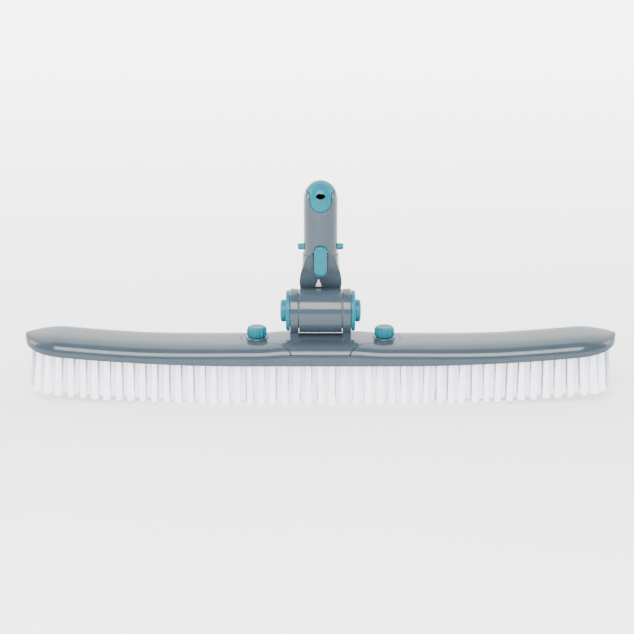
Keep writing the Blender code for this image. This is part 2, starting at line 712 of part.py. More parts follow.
def stadium(half_width, low, high, count=8):
    """An upright slot outline with round ends."""
    upper = arc((0, high - half_width), half_width, 0, 180, count)
    lower = arc((0, low + half_width), half_width, 180, 360, count)
    return upper + lower


def make_handle(axis):
    """Barrel, scooped neck and hollow pole spigot in one moulding."""
    neck = lathe(handle_profile(), steps=36)
    handle = place("handle", neck, "grey_plastic", PIVOT, axis)
    carve(handle, raked_space(0))
    scoop = place_cutter("cutter_scoop", lathe(handle_profile(PANEL_RIM), steps=36))
    carve(scoop, raked_space(PANEL_DEPTH), "INTERSECT")
    carve_with(handle, scoop)

    barrel = rod(BARREL_RADIUS, -BARREL_HALF, BARREL_HALF, "X", PIVOT, 36)
    carve(handle, barrel, "UNION")
    carve(handle, clip_space(GAP / 2))

    for side in (-1, 1):
        bush = BUSH_OUTER + GAP
        step, beyond = BUSH_START - GAP, BARREL_HALF + 5 * MM
        profile = [(0, WEB_HALF), (BORE_RADIUS, WEB_HALF), (BORE_RADIUS, step), (bush, step), (bush, beyond)]
        carve(handle, lathe(profile + [(0, beyond)], "X", PIVOT, flip=side))
    carve(handle, rod(PIN_CLEARANCE, -5 * MM, 5 * MM, "X", PIVOT, 20))

    carve(handle, rod(TUBE_BORE, BORE_FLOOR, DOME_START + DOME_HEIGHT))
    back_bore = arc((0, 0), TUBE_BORE, -BACK_BORE_LAP, 180 + BACK_BORE_LAP, 26)
    carve(handle, prism(back_bore, "Z", BACK_BORE_FLOOR, BORE_FLOOR + 0.5 * MM))
    channel = [(y * MM, z * MM) for y, z in BOLT_CHANNEL]
    carve(handle, prism(channel, "X", -BOLT_HALF_WIDTH - GAP, BOLT_HALF_WIDTH + GAP))
    gap = LEVER_SLOT_GAP
    slot = stadium(LEVER_HALF_WIDTH + gap, LEVER_FOOT - gap, LEVER_TOP + gap)
    carve(handle, prism(slot, "Y", -FAR, LEVER_SLOT_BACK))
    pin_hole = LEVER_PIN_HALF + GAP
    carve(handle, rod(LEVER_PIN_RADIUS + GAP, -pin_hole, pin_hole, "X", LEVER_PIVOT, 16))
    carve(handle, rod(SNAP_RADIUS + GAP, -FAR, FAR, "X", (0, 0, SNAP_Z), 20))


def make_lock(handle_axis):
    """Lock lever on its pin, and the bolt that it lifts against a spring."""
    lever_axis = joint_marker("lever_axis", LEVER_PIVOT)
    face = stadium(LEVER_HALF_WIDTH, LEVER_FOOT, LEVER_TOP, 10)
    web_half = LEVER_HALF_WIDTH - 0.4 * MM
    pad_back = LEVER_FACE + LEVER_PAD_DEPTH
    middle_z = (LEVER_FOOT + LEVER_TOP) / 2
    rings = [
        [(x * 0.82, LEVER_FACE, z + (middle_z - z) * 0.08) for x, z in face],
        [(x, LEVER_FACE + 1.6 * MM, z) for x, z in face],
        [(x, pad_back, z) for x, z in face],
    ]
    lever = place("lock_lever", loft(rings), "cyan_plastic", LEVER_PIVOT, lever_axis)
    web = stadium(web_half, LEVER_FOOT + 1 * MM, LEVER_TOP - 1.6 * MM)
    carve(lever, prism(web, "Y", pad_back - 1 * MM, LEVER_BACK), "UNION")
    arm = [(y * MM, z * MM) for y, z in LEVER_ARM]
    carve(lever, prism(arm, "X", -LEVER_ARM_HALF, LEVER_ARM_HALF), "UNION")
    carve(lever, rod(LEVER_PIN_RADIUS + GAP, -FAR, FAR, "X", LEVER_PIVOT, 16))

    pin = rod(LEVER_PIN_RADIUS, -LEVER_PIN_HALF, LEVER_PIN_HALF, "X", LEVER_PIVOT, 16)
    place("lever_pin", pin, "steel", PIVOT, handle_axis)

    bolt_low = (-BOLT_HALF_WIDTH, BOLT_FRONT, BOLT_FOOT)
    bolt_high = (BOLT_HALF_WIDTH, BOLT_BACK, BOLT_TOP)
    bolt = place("lock_bolt", box(bolt_low, bolt_high), "acetal", PIVOT, handle_axis)
    window_low, window_high = BOLT_WINDOW
    carve(bolt, box((-BOLT_WINDOW_HALF, 0, window_low), (BOLT_WINDOW_HALF, FAR, window_high)))

    at = (0, (BOLT_FRONT + BOLT_BACK) / 2, 0)
    low, high = BOLT_TOP + GAP, BOLT_SPRING_TOP
    spring = coil(BOLT_SPRING_RADIUS, BOLT_SPRING_WIRE, low, high, 8, at=at, steps=6, sides=4)
    place("bolt_spring", spring, "steel", PIVOT, handle_axis)


def make_clip(handle_axis):
    """Hollow domed clip cap plugged into the spigot, and the sprung arms that carry the snap buttons."""
    dome = place("clip_cap", lathe(handle_profile(), steps=36), "cyan_plastic", PIVOT, handle_axis)
    carve(dome, clip_space(-GAP / 2), "INTERSECT")
    carve(dome, rod(STEM_RADIUS, STEM_FOOT, DOME_START, steps=32), "UNION")
    cavity = [(0, STEM_FOOT - 5 * MM), (STEM_BORE, STEM_FOOT - 5 * MM), (STEM_BORE, HANG_HOLE_Z)]
    cavity += [(STEM_BORE * 0.7, STEM_BORE_TOP - 1 * MM), (0, STEM_BORE_TOP)]
    carve(dome, lathe(cavity, steps=24))
    half_x, half_z = HANG_HOLE_HALF
    angles = [2 * pi * i / 24 for i in range(24)]
    oval = [(half_x * cos(a), HANG_HOLE_Z + half_z * sin(a)) for a in angles]
    carve(dome, prism(oval, "Y", -FAR, FAR))

    for side, label in ((-1, "left"), (1, "right")):
        inner, outer = SNAP_BAR
        low_x, high_x = sorted((side * inner, side * outer))
        bar = box((low_x, -SNAP_BAR_HALF, SNAP_BAR_FOOT), (high_x, SNAP_BAR_HALF, STEM_FOOT - GAP))
        arm = place(f"snap_arm_{label}", bar, "cyan_plastic", PIVOT, handle_axis)
        tip = SNAP_END
        profile = [(0, inner + 1 * MM), (SNAP_RADIUS, inner + 1 * MM), (SNAP_RADIUS, tip - 1.4 * MM)]
        profile += [(SNAP_RADIUS - 0.4 * MM, tip - 0.4 * MM), (SNAP_RADIUS - 1.4 * MM, tip), (0, tip)]
        carve(arm, lathe(profile, "X", (0, 0, SNAP_Z), 20, side), "UNION")


def main():
    clear_scene()
    make_cover()
    make_plate()
    make_plate_screws()
    make_bristle_rows()
    make_yoke()
    tilt_axis = joint_marker("tilt_axis", PIVOT)
    for side, label in ((-1, "left"), (1, "right")):
        make_knob(side, label)
        make_pivot(side, label, tilt_axis)
    make_pivot_pin(tilt_axis)
    make_handle(tilt_axis)
    make_lock(tilt_axis)
    make_clip(tilt_axis)


main()
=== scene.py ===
"""Looks of the pool wall brush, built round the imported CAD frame. Lengths are in metres.

-Y is the front, where the camera stands, +X is to its right and +Z is up.
"""

import json
import random
from math import asin, atan2, cos, degrees, pi, radians, sin, sqrt

import bmesh
import bpy
from mathutils import Matrix, Vector


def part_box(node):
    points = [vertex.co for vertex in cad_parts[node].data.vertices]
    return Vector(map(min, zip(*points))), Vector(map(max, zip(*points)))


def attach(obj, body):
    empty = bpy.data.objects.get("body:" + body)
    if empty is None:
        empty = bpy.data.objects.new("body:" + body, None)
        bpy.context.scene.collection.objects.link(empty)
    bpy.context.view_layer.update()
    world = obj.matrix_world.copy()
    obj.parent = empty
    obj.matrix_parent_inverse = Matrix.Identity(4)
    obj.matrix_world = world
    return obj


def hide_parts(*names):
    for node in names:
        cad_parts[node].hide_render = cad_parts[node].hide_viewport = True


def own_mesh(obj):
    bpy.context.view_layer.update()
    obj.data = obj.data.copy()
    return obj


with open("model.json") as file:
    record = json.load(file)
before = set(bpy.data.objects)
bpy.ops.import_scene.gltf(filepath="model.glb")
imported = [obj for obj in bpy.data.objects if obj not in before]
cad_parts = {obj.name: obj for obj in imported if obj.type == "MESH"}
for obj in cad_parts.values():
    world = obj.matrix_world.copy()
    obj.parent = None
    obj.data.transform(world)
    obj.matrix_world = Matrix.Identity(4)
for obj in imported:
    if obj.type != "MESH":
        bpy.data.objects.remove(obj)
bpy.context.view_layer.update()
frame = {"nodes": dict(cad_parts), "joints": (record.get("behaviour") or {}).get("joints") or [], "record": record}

MM = 0.001
FAR = 60 * MM
CUTTER_TURN = 0.011  # turns a cutter a little, so that its corners miss those of what it cuts
JOINTS = {joint["name"]: joint for joint in frame["joints"]}
PIVOT = Vector(JOINTS["handle_tilt"]["pos_m"])
LEVER_PIVOT = Vector(JOINTS["lever_press"]["pos_m"])
KNOB_X = JOINTS["knob_right_turn"]["pos_m"][0]

# Brush head
COVER_LOW, COVER_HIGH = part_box("brush_cover")
HALF_LENGTH = 250 * MM
HALF_WIDTH = COVER_HIGH.y
END_LENGTH = 34 * MM
BRISTLE_LENGTH = COVER_LOW.z
FLAT_HALF_LENGTH = 60 * MM
END_RISE = 11.2 * MM
TIP_LIFT = 3 * MM
WING_THICKNESS = 15 * MM
SHOULDER_SWELL = 1.3 * MM
SHOULDER_START = 54 * MM
SHOULDER_REACH = 110 * MM
CREST_SWELL = 1.7 * MM
CREST_START = 28 * MM
CREST_REACH = 24 * MM
TIP_THINNING = 8 * MM
CENTRE_SQUARENESS = 3.6
WING_SQUARENESS = 3.0
RIM_WALL = 3 * MM
RIM_ROUND = 0.7 * MM
POCKET_DEPTH = 4.5 * MM
PLATE_LIP = 0.6 * MM
SADDLE_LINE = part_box("yoke")[0].z
LOBE_RADIUS = 13.4 * MM
SADDLE_FRONT_HALF = 23.6 * MM
SADDLE_CURVE_POWER = 2.4
GROOVE = 0.5 * MM
STUD_CLEARANCE = 3 * MM
KNOB_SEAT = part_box("knob_collar_right")[0].z - 0.3 * MM
KNOB_SEAT_RADIUS = 9.6 * MM
KNOB_BORE = 2.9 * MM
INSERT_BORE = 4.5 * MM

# Yoke and pivot
EAR_INNER = 18.5 * MM
EAR_OUTER = 25.7 * MM
EAR_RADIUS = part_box("yoke")[1].z - PIVOT.z
EAR_FOOT_HALF = 8 * MM
EAR_FILLET = 6 * MM
EDGE_ROUND = 0.7 * MM
BARREL_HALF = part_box("handle")[1].x
BARREL_RADIUS = PIVOT.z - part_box("handle")[0].z
BUSH_BORE = 15.3 * MM
BUSH_START = 14.3 * MM
BUSH_END = 22.15 * MM
BORE_RADIUS = 12.3 * MM
WEB_HALF = 2 * MM
SPIGOT_BORE = 13.7 * MM
PIN_CLEARANCE = 2.9 * MM
CRADLE_HALF = 14 * MM  # low swell of the saddle under the barrel
CRADLE_FOOT = 53.3 * MM
CRADLE_RISE = 3.8 * MM
BEZEL_BORE = 9.7 * MM
BEZEL_SPIGOT = 13.4 * MM
BEZEL_SPIGOT_BORE = 11.9 * MM
BEZEL_ROUND = 1.7 * MM
BUTTON_FLANGE = 11.4 * MM
BUTTON_FLANGE_HEIGHT = 2.6 * MM
BUTTON_HOLLOW = 9.5 * MM

# Handle
TUBE_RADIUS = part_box("clip_cap")[1].y
TUBE_BORE = 11.8 * MM
BORE_FLOOR = 141.4 * MM
LOWER_BORE_FLOOR = 128 * MM
SHOULDER = 127.5 * MM
NECK = [  # (radius, height) points in mm
    (18.0, 78.0), (18.0, 98.0), (17.7, 104.0), (16.9, 109.5), (15.9, 114.5), (15.3, 119.0), (15.1, 124.0)
]
DOME_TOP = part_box("clip_cap")[1].z
DOME_HEIGHT = 16 * MM
DOME_START = DOME_TOP - DOME_HEIGHT
RAKE_TOP = Vector((-14.25 * MM, 135.4 * MM))
RAKE_FOOT = Vector((5.4 * MM, 94.7 * MM))
PANEL_RIM = 1.1 * MM
PANEL_DEPTH = 1.2 * MM
SCOOP_RADIUS = 110 * MM
BOLT_CHANNEL = [  # (y, z) points in mm
    (-3.9, 128.5), (11.2, 128.5), (11.2, 84), (7.3, 84), (7.3, 98.2), (0.8, 112), (-3.9, 120.6)
]
SPRING_WIRE = 0.5 * MM
SPRING_TURNS = 8
LEVER_ARM = [(-7, 130.4), (-3.5, 128.4), (9.3, 122.3), (9.3, 120.3), (6, 120.2), (-7, 116.4)]  # mm
LEVER_ARM_HALF = 2.2 * MM
LEVER_EYE = 1.8 * MM
PAD_DEPTH = 5 * MM
PAD_NOSE = 6 * MM
PAD_CURL = 4.2 * MM
PAD_EASE = 0.5 * MM  # the thumb pad is this much narrower on each side than its CAD box
CLIP_EDGE = 181.9 * MM
TONGUE_HALF = 9 * MM
TONGUE_FOOT = 166.1 * MM
STEM_RADIUS = 11.4 * MM
STEM_BORE = 9.2 * MM
STEM_BORE_TOP = 184 * MM
HANG_HOLE_Z = 178.7 * MM
HANG_HOLE_HALF = (3.95 * MM, 2.9 * MM)
SNAP_Z = 133.1 * MM
SNAP_RADIUS = 2.7 * MM
SNAP_TIP_ROUND = 1.3 * MM
SNAP_BAR_OUTER = 10.9 * MM
SNAP_BAR_HALF = 3.4 * MM
SNAP_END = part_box("snap_arm_right")[1].x
SLOT_GAP = 0.5 * MM
WEB_BACK = -5.2 * MM


# ---- mesh helpers ----


def solid(bm, name="tool"):
    """A new object from a bmesh in world coordinates."""
    bmesh.ops.recalc_face_normals(bm, faces=bm.faces)
    mesh = bpy.data.meshes.new(name)
    bm.to_mesh(mesh)
    bm.free()
    item = bpy.data.objects.new(name, mesh)
    bpy.context.scene.collection.objects.link(item)
    return item


def bake_modifiers(item):
    """Replaces an object's mesh with what its modifiers make of it."""
    bpy.context.view_layer.update()
    depsgraph = bpy.context.evaluated_depsgraph_get()
    mesh = bpy.data.meshes.new_from_object(item.evaluated_get(depsgraph), depsgraph=depsgraph)
    item.modifiers.clear()
    old = item.data
    item.data = mesh
    bpy.data.meshes.remove(old)


def combine(target, tool, operation="DIFFERENCE"):
    """Applies a Boolean at once and removes the tool."""
    if isinstance(tool, bmesh.types.BMesh):
        tool = solid(tool)
    modifier = target.modifiers.new("combine", "BOOLEAN")
    modifier.operation = operation
    modifier.object = tool
    modifier.solver = "EXACT"
    bake_modifiers(target)
    bpy.data.objects.remove(tool)
    return target


def loft(rings):
    """A closed solid through rings of equally many points, with flat ends."""
    bm = bmesh.new()
    loops = [[bm.verts.new(point) for point in ring] for ring in rings]
    for lower, upper in zip(loops, loops[1:]):
        for i in range(len(lower)):
            j = (i + 1) % len(lower)
            bm.faces.new((lower[i], lower[j], upper[j], upper[i]))
    bm.faces.new(loops[0])
    bm.faces.new(loops[-1])
    return bm


def on_axis(axis, a, b, c):
    """A point from two plane coordinates and its height along an axis."""
    return {"X": (c, a, b), "Y": (a, c, b), "Z": (a, b, c)}[axis]


def prism(outline, axis, low, high):
    """Extrudes an outline along an axis. Its points are the other two axes, in X, Y, Z order."""
    return loft([[on_axis(axis, a, b, c) for a, b in outline] for c in (low, high)])


def inset(outline, distance):
    """An outline moved inwards along its corner normals. The outline runs anticlockwise."""
    moved = []
    for i, point in enumerate(outline):
        before = Vector(outline[i - 1])
        after = Vector(outline[(i + 1) % len(outline)])
        along = (after - before).normalized()
        moved.append((point[0] - along.y * distance, point[1] + along.x * distance))
    return moved


def rounded_prism(outline, axis, low, high, radius, steps=3):
    """A prism whose two end edges are rounded."""
    turns = [pi / 2 * i / steps for i in range(steps + 1)]
    lower = [(radius * (1 - sin(t)), low + radius * (1 - cos(t))) for t in turns]
    upper = [(distance, low + high - height) for distance, height in reversed(lower)]
    rings = []
    for distance, height in lower + upper:
        rings.append([on_axis(axis, a, b, height) for a, b in inset(outline, distance)])
    return loft(rings)


def lathe(profile, axis="Z", at=(0, 0, 0), steps=96, flip=1, phase=0.0):
    """Spins (radius, height) points into a solid. A profile that starts off the axis is a closed ring."""
    bm = bmesh.new()
    begin = cos(phase), sin(phase)
    verts = [
        bm.verts.new((radius * begin[0], radius * begin[1], flip * height)) for radius, height in profile
    ]
    pairs = zip(verts, verts[1:], profile, profile[1:])
    edges = [bm.edges.new((v, w)) for v, w, here, there in pairs if here[0] + there[0] > 0]
    if profile[0][0] > 0:
        edges.append(bm.edges.new((verts[-1], verts[0])))
    bmesh.ops.spin(bm, geom=verts + edges, cent=(0, 0, 0), axis=(0, 0, 1), angle=2 * pi, steps=steps)
    bmesh.ops.remove_doubles(bm, verts=bm.verts, dist=1e-6)
    if axis == "X":
        bmesh.ops.rotate(bm, cent=(0, 0, 0), matrix=Matrix.Rotation(pi / 2, 3, "Y"), verts=bm.verts)
    bmesh.ops.translate(bm, vec=Vector(at), verts=bm.verts)
    return bm


def rod(radius, low, high, axis="Z", at=(0, 0, 0), steps=96):
    """A plain cylinder, for cutting or joining."""
    return lathe([(0, low), (radius, low), (radius, high), (0, high)], axis, at, steps, phase=CUTTER_TURN)


def arc(centre, radius, start, end, count):
    """Points on an arc, with angles in degrees."""
    angles = [radians(start + (end - start) * i / count) for i in range(count + 1)]
    return [(centre[0] + radius * cos(a), centre[1] + radius * sin(a)) for a in angles]


def round_corners(profile, radius, count=4):
    """Rounds the convex and concave corners inside an open profile of points."""
    rounded = [profile[0]]
    for before, corner, after in zip(profile, profile[1:], profile[2:]):
        here = Vector(corner)
        to_before = Vector(before) - here
        to_after = Vector(after) - here
        reach = min(radius, to_before.length * 0.45, to_after.length * 0.45)
        first = here + to_before.normalized() * reach
        last = here + to_after.normalized() * reach
        for i in range(count + 1):
            t = i / count
            point = first * (1 - t) ** 2 + here * 2 * t * (1 - t) + last * t**2
            rounded.append(tuple(point))
    return rounded + [profile[-1]]


def smooth_curve(points, count=4):
    """A Catmull-Rom curve through points."""
    ends = [points[0]] + list(points) + [points[-1]]
    curve = []
    for p0, p1, p2, p3 in zip(ends, ends[1:], ends[2:], ends[3:]):
        p0, p1, p2, p3 = Vector(p0), Vector(p1), Vector(p2), Vector(p3)
        for i in range(count):
            t = i / count
            bend = (2 * p0 - 5 * p1 + 4 * p2 - p3) * t * t + (3 * p1 - p0 - 3 * p2 + p3) * t**3
            curve.append(tuple((2 * p1 + (p2 - p0) * t + bend) / 2))
    return curve + [tuple(points[-1])]


def ease(t):
    t = min(max(t, 0.0), 1.0)
    return t * t * (3 - 2 * t)


def finish_piece(item, name, look, body, slot, *nodes, angle=32):
    """Names a piece, gives it its material and smooth shading, and ties it to its body and CAD nodes."""
    item.name = name
    item.data.name = name
    item.data.materials.clear()
    item.data.materials.append(look)
    item.data.shade_smooth()
    item.data.set_sharp_from_angle(angle=radians(angle))
    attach(item, body)
    if nodes:
        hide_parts(*nodes)
    return item


# ---- materials ----


class Nodes:
    """A short way to write a node tree."""

    def __init__(self, name):
        self.material = bpy.data.materials.new(name)
        self.material.use_nodes = True
        self.tree = self.material.node_tree
        self.shader = self.tree.nodes["Principled BSDF"]

    def add(self, kind, **settings):
        node = self.tree.nodes.new("ShaderNode" + kind)
        for key, value in settings.items():
            if hasattr(node, key):
                setattr(node, key, value)
            else:
                node.inputs[key.replace("_", " ")].default_value = value
        return node

    def link(self, source, target):
        self.tree.links.new(source, target)

    def noise(self, scale, detail=2.0, roughness=0.5, stretch=(1, 1, 1)):
        place = self.add("TexCoord")
        mapping = self.add("Mapping")
        mapping.inputs["Scale"].default_value = stretch
        texture = self.add("TexNoise", Scale=scale, Detail=detail, Roughness=roughness)
        self.link(place.outputs["Object"], mapping.inputs["Vector"])
        self.link(mapping.outputs["Vector"], texture.inputs["Vector"])
        return texture.outputs["Fac"]

    def spread(self, value, low, high, new_low, new_high):
        node = self.add("MapRange", From_Min=low, From_Max=high, To_Min=new_low, To_Max=new_high)
        self.link(value, node.inputs["Value"])
        return node.outputs["Result"]

    def colour_mix(self, factor, first, second):
        node = self.add("Mix", data_type="RGBA")
        node.inputs[6].default_value = (*first, 1)
        node.inputs[7].default_value = (*second, 1)
        self.link(factor, node.inputs[0])
        return node.outputs[2]

    def bump(self, height, strength, distance, normal=None):
        node = self.add("Bump", Strength=strength, Distance=distance)
        self.link(height, node.inputs["Height"])
        if normal:
            self.link(normal, node.inputs["Normal"])
        return node.outputs["Normal"]


def moulded(name, colour, roughness, mottling=0.06, edge=0.4 * MM, gloss=0.32, sheen_marks=0.05, grain=0.04):
    """Injection-moulded plastic: faint colour mottling, gloss variation, sink waviness and fine grain."""
    n = Nodes(name)
    dark = tuple(c * (1 - mottling) for c in colour)
    light = tuple(min(1, c * (1 + mottling)) for c in colour)
    broad = n.spread(n.noise(55, 3, 0.55), 0.3, 0.7, 0, 1)
    n.link(n.colour_mix(broad, dark, light), n.shader.inputs["Base Color"])
    marks = n.noise(260, 4, 0.65, (1, 1, 0.35))
    n.link(n.spread(marks, 0.3, 0.75, roughness, roughness + sheen_marks), n.shader.inputs["Roughness"])
    rounding = n.add("Bevel", samples=6)
    rounding.inputs["Radius"].default_value = edge
    waves = n.bump(n.noise(38, 1, 0.4), 0.16, 1.2 * MM, rounding.outputs["Normal"])
    fine = n.bump(n.noise(2600, 2, 0.6), grain, 0.05 * MM, waves)
    n.link(fine, n.shader.inputs["Normal"])
    n.shader.inputs["IOR"].default_value = 1.5
    n.shader.inputs["Specular IOR Level"].default_value = gloss
    n.shader.inputs["Coat Weight"].default_value = 0.3 * gloss
    n.shader.inputs["Coat Roughness"].default_value = 0.06
    return n.material


def satin_plastic(name, colour, roughness, spots):
    """Matt plastic with a spark-eroded mould texture."""
    n = Nodes(name)
    shade = n.spread(n.noise(120, 4, 0.6), 0.3, 0.7, 0, 1)
    dark = tuple(c * 0.88 for c in colour)
    n.link(n.colour_mix(shade, dark, colour), n.shader.inputs["Base Color"])
    n.link(
        n.spread(n.noise(400, 3, 0.6), 0.3, 0.7, roughness - 0.06, roughness + 0.08),
        n.shader.inputs["Roughness"],
    )
    n.link(n.bump(n.noise(spots, 3, 0.6), 0.3, 0.06 * MM), n.shader.inputs["Normal"])
    return n.material


def turned_metal(name, colour, roughness, lines, stretch):
    """Metal with fine tool lines."""
    n = Nodes(name)
    streaks = n.noise(lines, 3, 0.6, stretch)
    dark = tuple(c * 0.8 for c in colour)
    n.link(n.colour_mix(n.spread(streaks, 0.3, 0.7, 0, 1), dark, colour), n.shader.inputs["Base Color"])
    n.link(n.spread(streaks, 0.3, 0.7, roughness - 0.05, roughness + 0.12), n.shader.inputs["Roughness"])
    n.shader.inputs["Metallic"].default_value = 1.0
    n.link(n.bump(streaks, 0.25, 0.03 * MM), n.shader.inputs["Normal"])
    return n.material


def nylon(name):
    """Milky nylon filament, with painted shade: a darker lavender-grey towards the roots.

    The outer rows have a little emission, which stands in for light scattered inside the filaments.
    """
    n = Nodes(name)
    place = n.add("TexCoord")
    split = n.add("SeparateXYZ")
    n.link(place.outputs["Object"], split.inputs["Vector"])
    height = n.spread(split.outputs["Z"], 0.0, BRISTLE_LENGTH, 0, 1)
    # painted shade: the filament colour darkens from white at the tips to lavender-grey at the roots, under the
    # head
    root = n.colour_mix(height, (0.93, 0.93, 0.95), (0.80, 0.80, 0.86))
    strands = n.spread(n.noise(900, 2, 0.5, (1, 1, 0.05)), 0.3, 0.7, 0, 0.25)
    mix = n.add("Mix", data_type="RGBA")
    n.link(strands, mix.inputs[0])
    n.link(root, mix.inputs[6])
    mix.inputs[7].default_value = (0.86, 0.83, 0.82, 1)
    n.link(mix.outputs[2], n.shader.inputs["Base Color"])
    n.link(n.spread(n.noise(1500, 2, 0.5, (1, 1, 0.1)), 0.3, 0.7, 0.3, 0.45), n.shader.inputs["Roughness"])
    depth = n.add("Math", operation="ABSOLUTE")
    n.link(split.outputs["Y"], depth.inputs[0])
    n.link(n.spread(depth.outputs[0], 5 * MM, 14 * MM, 0.0, 0.9), n.shader.inputs["Emission Strength"])
    n.shader.inputs["Emission Color"].default_value = (0.88, 0.92, 1.0, 1)
    n.shader.inputs["Subsurface Weight"].default_value = 0.35
    n.shader.inputs["Subsurface Radius"].default_value = (0.9 * MM, 0.9 * MM, 1.0 * MM)
    n.shader.inputs["Subsurface Scale"].default_value = 1.0
    return n.material


LOOKS = {
    "grey_plastic": moulded("slate_plastic", (0.038, 0.056, 0.072), 0.13),
    "cyan_plastic": moulded("cyan_plastic", (0.0, 0.124, 0.166), 0.28, 0.05, 0.4 * MM, 0.16),
    "white_nylon": nylon("nylon_filament"),
    "beige_plastic": satin_plastic("plate_plastic", (0.42, 0.38, 0.35), 0.5, 1800),
    "acetal": satin_plastic("acetal", (0.78, 0.78, 0.76), 0.4, 2400),
    "steel": turned_metal("turned_steel", (0.58, 0.59, 0.60), 0.28, 700, (1, 1, 6)),
    "brass": turned_metal("turned_brass", (0.75, 0.55, 0.24), 0.3, 900, (1, 1, 6)),
    "print": satin_plastic("white_print", (0.86, 0.88, 0.90), 0.45, 3000),
}


# ---- brush head ----


def end_fraction(x):
    return max(0.0, (abs(x) - HALF_LENGTH + END_LENGTH) / END_LENGTH)


def sweep_up(x):
    reach = max(0.0, abs(x) - FLAT_HALF_LENGTH) / (HALF_LENGTH - FLAT_HALF_LENGTH)
    return END_RISE * reach**2


def rim_height(x):
    return BRISTLE_LENGTH + sweep_up(x) + TIP_LIFT * end_fraction(x) ** 4


def half_width(x):
    return HALF_WIDTH * sqrt(max(0.0, 1 - end_fraction(x) ** 2))


def shoulder(x):
    return 1 - ease((abs(x) - SHOULDER_START) / SHOULDER_REACH)


def cover_thickness(x):
    crest = 1 - ease((abs(x) - CREST_START) / CREST_REACH)
    middle = WING_THICKNESS + SHOULDER_SWELL * shoulder(x) + CREST_SWELL * crest
    return middle - TIP_THINNING * end_fraction(x) ** 2


def head_stations(spacing, end_steps):
    straight = HALF_LENGTH - END_LENGTH
    count = int(straight / spacing)
    side = [straight * i / count for i in range(count + 1)]
    side += [straight + END_LENGTH * sin(pi / 2 * i / end_steps) for i in range(1, end_steps)]
    side.append(COVER_HIGH.x)
    return [-x for x in reversed(side[1:])] + side


def cover_section(x, points=44):
    """A super-ellipse section with a small round along both rim edges."""
    power = 2 / (WING_SQUARENESS + (CENTRE_SQUARENESS - WING_SQUARENESS) * shoulder(x))
    width = half_width(x)
    rim = rim_height(x)
    edge = min(RIM_ROUND, width * 0.3)
    height = cover_thickness(x) - edge
    lower = [(width - edge, rim), (width - 0.62 * edge, rim + 0.08 * edge)]
    lower += [(width - 0.29 * edge, rim + 0.29 * edge), (width - 0.08 * edge, rim + 0.62 * edge)]
    section = list(lower)
    for i in range(points + 1):
        angle = pi * i / points
        side = 1 if cos(angle) >= 0 else -1
        y = width * side * abs(cos(angle)) ** power
        section.append((y, rim + edge + height * max(0.0, sin(angle)) ** power))
    section += [(-y, z) for y, z in reversed(lower)]
    return [(x, y, z) for y, z in section]


def head_shape():
    return loft([cover_section(x) for x in head_stations(4 * MM, 14)])


def flat_section(x, edge, low, high):
    width = half_width(x) - edge
    rim = rim_height(x)
    return [(x, -width, rim + low), (x, width, rim + low), (x, width, rim + high), (x, -width, rim + high)]


def saddle_outline(offset):
    quarter = [(SADDLE_FRONT_HALF + offset, FAR)]
    for i in range(25):
        t = i / 24
        x = SADDLE_FRONT_HALF + (KNOB_X - SADDLE_FRONT_HALF) * t
        extra = (HALF_WIDTH - LOBE_RADIUS) * (1 - t) ** SADDLE_CURVE_POWER
        quarter.append((x + offset * (1 - t), LOBE_RADIUS + extra + offset))
    quarter += arc((KNOB_X, 0), LOBE_RADIUS + offset, 90, 0, 24)[1:]
    right = quarter + [(x, -y) for x, y in reversed(quarter[:-1])]
    return right + [(-x, y) for x, y in reversed(right)]


def saddle_space(offset):
    return prism(saddle_outline(offset), "Z", SADDLE_LINE - offset, SADDLE_LINE + FAR)


def make_cover():
    cover = solid(head_shape())
    combine(cover, saddle_space(GROOVE))
    stations = [x for x in head_stations(8 * MM, 10) if half_width(x) > RIM_WALL + 3 * MM]
    combine(cover, loft([flat_section(x, RIM_WALL, -5 * MM, POCKET_DEPTH) for x in stations]))
    for x in (-KNOB_X, KNOB_X):
        combine(cover, rod(INSERT_BORE, rim_height(x), SADDLE_LINE + 2 * MM, at=(x, 0, 0), steps=32))
    return finish_piece(cover, "cover_shell", LOOKS["grey_plastic"], "head", "grey_plastic", "brush_cover")


def ear_outline():
    reach = EAR_FOOT_HALF + EAR_FILLET
    drop = sqrt((EAR_RADIUS + EAR_FILLET) ** 2 - reach**2)
    fillet_z = PIVOT.z - drop
    foot = SADDLE_LINE + 2 * MM
    tangent = 90 - degrees(asin(reach / (EAR_RADIUS + EAR_FILLET)))
    disc = arc((0, PIVOT.z), EAR_RADIUS, -tangent, 180 + tangent, 90)
    right = arc((reach, fillet_z), EAR_FILLET, 180, 180 - tangent, 10)[:-1]
    left = [(-y, z) for y, z in reversed(right)]
    return [(EAR_FOOT_HALF, foot)] + right + disc + left + [(-EAR_FOOT_HALF, foot)]


